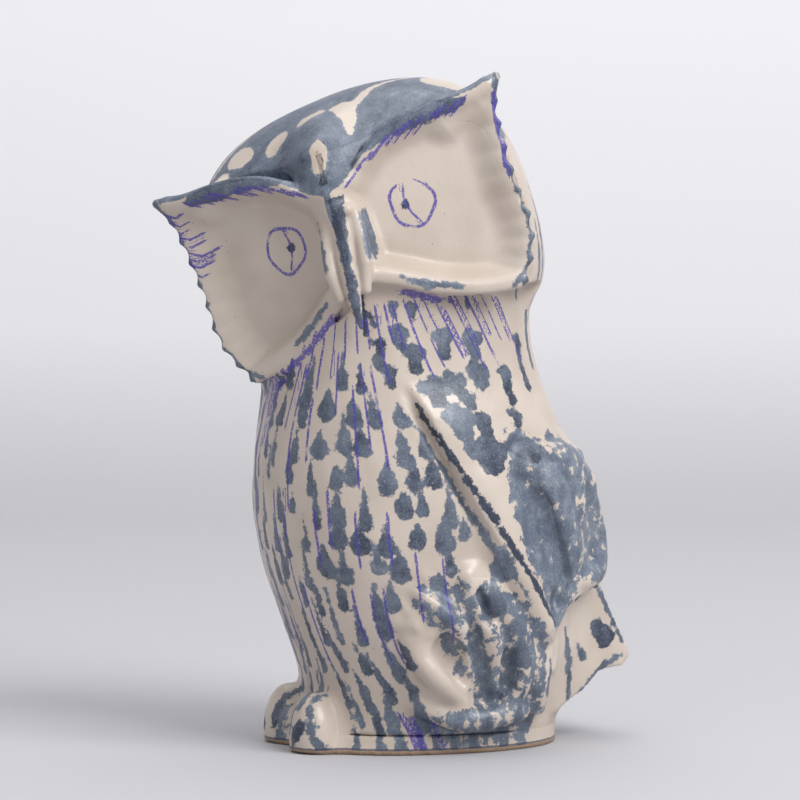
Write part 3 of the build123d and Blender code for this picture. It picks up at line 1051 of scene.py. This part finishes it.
def cut_piece(zone, name, margin=7.0):
    """The closed mesh of one piece: the clay near its CAD node, sunk where a neighbour takes over."""
    low, high = node_box(name, margin + 2)
    place = zone.room(low, high)
    own = zone.nodes[name][place].astype(np.float32)
    others = np.full_like(own, zone.band)
    for other in NODES:
        if other != name:
            np.minimum(others, zone.nodes[other][place], out=others)
    sink = 0.5 * smooth_step(own - others, 0.2, 2.0)
    shell = np.maximum(zone.field[place] + sink, own - margin)
    shell = np.clip(shell, -2 * zone.step, 2 * zone.step)
    shell = np.pad(shell, 1, constant_values=2 * zone.step)
    grid = openvdb.FloatGrid(background=2 * zone.step)
    grid.copyFromArray(shell.astype(np.float32), tolerance=0)
    points, quads = grid.convertToQuads(0.0)
    start = np.array([zone.first[k] + place[k].start - 1 for k in range(3)])
    return (points + start) * zone.step, quads


def make_object(name, points, quads):
    mesh = bpy.data.meshes.new(name)
    mesh.vertices.add(len(points))
    mesh.vertices.foreach_set("co", (points * MM).astype(np.float32).ravel())
    mesh.loops.add(quads.size)
    mesh.loops.foreach_set("vertex_index", quads.astype(np.int32)[:, ::-1].ravel())
    mesh.polygons.add(len(quads))
    mesh.polygons.foreach_set("loop_start", np.arange(0, quads.size, 4, dtype=np.int32))
    mesh.polygons.foreach_set("use_smooth", np.ones(len(quads), bool))
    mesh.update(calc_edges=True)
    return add_object(name, mesh)


def thin_inside(piece):
    """Fewer faces on the inner walls of a pot, where nobody looks. Gives the points that are left."""
    mesh = piece.data
    points, normals = vertex_values(mesh, "co"), vertex_values(mesh, "normal")
    inwards = (points.mean(axis=0) - points) * (1, 1, 0)
    inner = (normals * inwards).sum(axis=1) > 0.2 * np.linalg.norm(inwards, axis=1)
    piece.vertex_groups.new(name="inner").add(np.nonzero(inner)[0].tolist(), 1.0, "REPLACE")
    modifier = piece.modifiers.new("thin", "DECIMATE")
    modifier.vertex_group = "inner"
    modifier.invert_vertex_group = True
    modifier.ratio = min(1.0, MOST_TRIANGLES / (2 * len(mesh.polygons)))
    bpy.context.view_layer.update()
    found = piece.evaluated_get(bpy.context.evaluated_depsgraph_get())
    thinned = bpy.data.meshes.new_from_object(found)
    piece.modifiers.clear()
    piece.vertex_groups.clear()
    piece.data = thinned
    bpy.data.meshes.remove(mesh)
    return vertex_values(thinned, "co") / MM


def make_pieces():
    """Sculpt the clay, cut it into its pieces, and paint and glaze each."""
    all_low, all_high = (np.array(v) / MM for v in cad_bounds)
    coarse = Zone(all_low - 6, all_high + 6, COARSE, BAND)
    face_low = np.min([node_box(name, 9)[0] for name in FACE_PIECES], axis=0)
    face_high = np.max([node_box(name, 9)[1] for name in FACE_PIECES], axis=0)
    fine = Zone(face_low, face_high, FINE, BAND)
    glazes = {slot: glaze_material(slot) for slot in sorted(set(SLOTS.values()))}
    dish = Dish()
    for zone in (coarse, fine):
        sculpt(zone, dish)
        zone.measure_relief()
    for name in NODES:
        zone = fine if name in FACE_PIECES else coarse
        points, quads = cut_piece(zone, name)
        piece = make_object("clay_" + name, points, quads)
        if 2 * len(quads) > MOST_TRIANGLES:
            points = thin_inside(piece)
        paint = Paint(points, zone.relief_at(points), dish)
        paint_body(paint)
        paint_face(paint)
        set_marks(piece, paint)
        piece.data.materials.append(glazes[SLOTS[name]])
        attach(piece, "root")
        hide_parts(name)


# ---- stage


VIEW_ANGLE, VIEW_HEIGHT = np.radians((70, 3))  # round from the breast, and up
AIM = np.array((-2, -6, 127)) * MM
CAMERA_DISTANCE = 1.5
LENS, SENSOR = 182, 36
SIDEWAYS = np.array((np.cos(VIEW_ANGLE), np.sin(VIEW_ANGLE), 0))
BACK = np.array((-np.sin(VIEW_ANGLE), np.cos(VIEW_ANGLE), 0))
TOWARDS = np.sin(VIEW_HEIGHT) * np.array((0, 0, 1)) - np.cos(VIEW_HEIGHT) * BACK

FLOOR_DEPTH, BEND, PAPER_HEIGHT, PAPER_WIDTH = 1.0, 1.2, 5.0, 5.0
BEND_STEPS = 12
# The paper's colour at shares of a metre up it, so that the light falls off as in a studio
PAPER = ((0.0, (0.455, 0.45, 0.47, 1)), (0.35, (0.77, 0.765, 0.785, 1)), (0.10, (0.66, 0.655, 0.675, 1)))
# Area lights: towards the camera, sideways, back and up from the owl, size and power
LIGHTS = {
    "key_light": (1.2, 1.3, 0, 1.5, 1.4, 54),
    "fill_light": (1.6, -1.4, 0, 0.9, 1.6, 5),
    "top_light": (0, 0, 0.5, 2.2, 2.0, 26),
}
WORLD_COLOUR, WORLD_STRENGTH = (0.90, 0.90, 0.935, 1), 0.51


def look_at(thing, aim):
    direction = Vector(aim) - Vector(thing.location)
    thing.rotation_euler = direction.to_track_quat("-Z", "Y").to_euler()


def make_camera():
    camera = add_object("camera", bpy.data.cameras.new("camera"))
    camera.location = AIM + TOWARDS * CAMERA_DISTANCE
    camera.data.lens = LENS
    camera.data.sensor_width = SENSOR
    look_at(camera, AIM)
    bpy.context.scene.camera = camera


def paper_material():
    material = bpy.data.materials.new("backdrop_paper")
    material.use_nodes = True
    nodes, links = material.node_tree.nodes, material.node_tree.links
    shader = nodes["Principled BSDF"]
    shader.inputs["Roughness"].default_value = 0.8
    place, split, paper = (nodes.new(f"ShaderNode{kind}") for kind in ("TexCoord", "SeparateXYZ", "ValToRGB"))
    elements = paper.color_ramp.elements
    for element, (position, colour) in zip(elements, PAPER):
        element.position = position
        element.color = colour
    for position, colour in PAPER[len(elements) :]:
        elements.new(position).color = colour
    links.new(place.outputs["Object"], split.inputs[0])
    links.new(split.outputs[2], paper.inputs[0])
    links.new(paper.outputs[0], shader.inputs["Base Color"])
    return material


def make_backdrop():
    """A pale floor that curves up into a backdrop."""
    profile = [(-3.0, 0.0), (FLOOR_DEPTH, 0.0)]
    for step in range(1, BEND_STEPS + 1):
        turn = np.pi / 2 * step / BEND_STEPS
        profile.append((FLOOR_DEPTH + BEND * np.sin(turn), BEND * (1 - np.cos(turn))))
    profile.append((FLOOR_DEPTH + BEND, PAPER_HEIGHT))
    points = [
        tuple(SIDEWAYS * across + BACK * far + np.array((0, 0, high)))
        for across in (-PAPER_WIDTH, PAPER_WIDTH)
        for far, high in profile
    ]
    n = len(profile)
    faces = [(i, i + 1, n + i + 1, n + i) for i in range(n - 1)]
    mesh = bpy.data.meshes.new("backdrop")
    mesh.from_pydata(points, [], faces)
    mesh.polygons.foreach_set("use_smooth", [True] * len(faces))
    mesh.materials.append(paper_material())
    add_object("backdrop", mesh)


def make_lights():
    """Soft lights from the right, the left and above, in a pale room."""
    for name, (towards, sideways, back, up, size, power) in LIGHTS.items():
        light = bpy.data.lights.new(name, "AREA")
        light.size = size
        light.energy = power
        lamp = add_object(name, light)
        place = TOWARDS * towards + SIDEWAYS * sideways + BACK * back + np.array((0, 0, up))
        lamp.location = AIM + place
        look_at(lamp, AIM)
    world = bpy.data.worlds.new("studio")
    world.use_nodes = True
    background = world.node_tree.nodes["Background"]
    background.inputs["Color"].default_value = WORLD_COLOUR
    background.inputs["Strength"].default_value = WORLD_STRENGTH
    bpy.context.scene.world = world


make_camera()
make_backdrop()
make_lights()
bpy.context.scene.view_settings.view_transform = "Standard"
make_pieces()
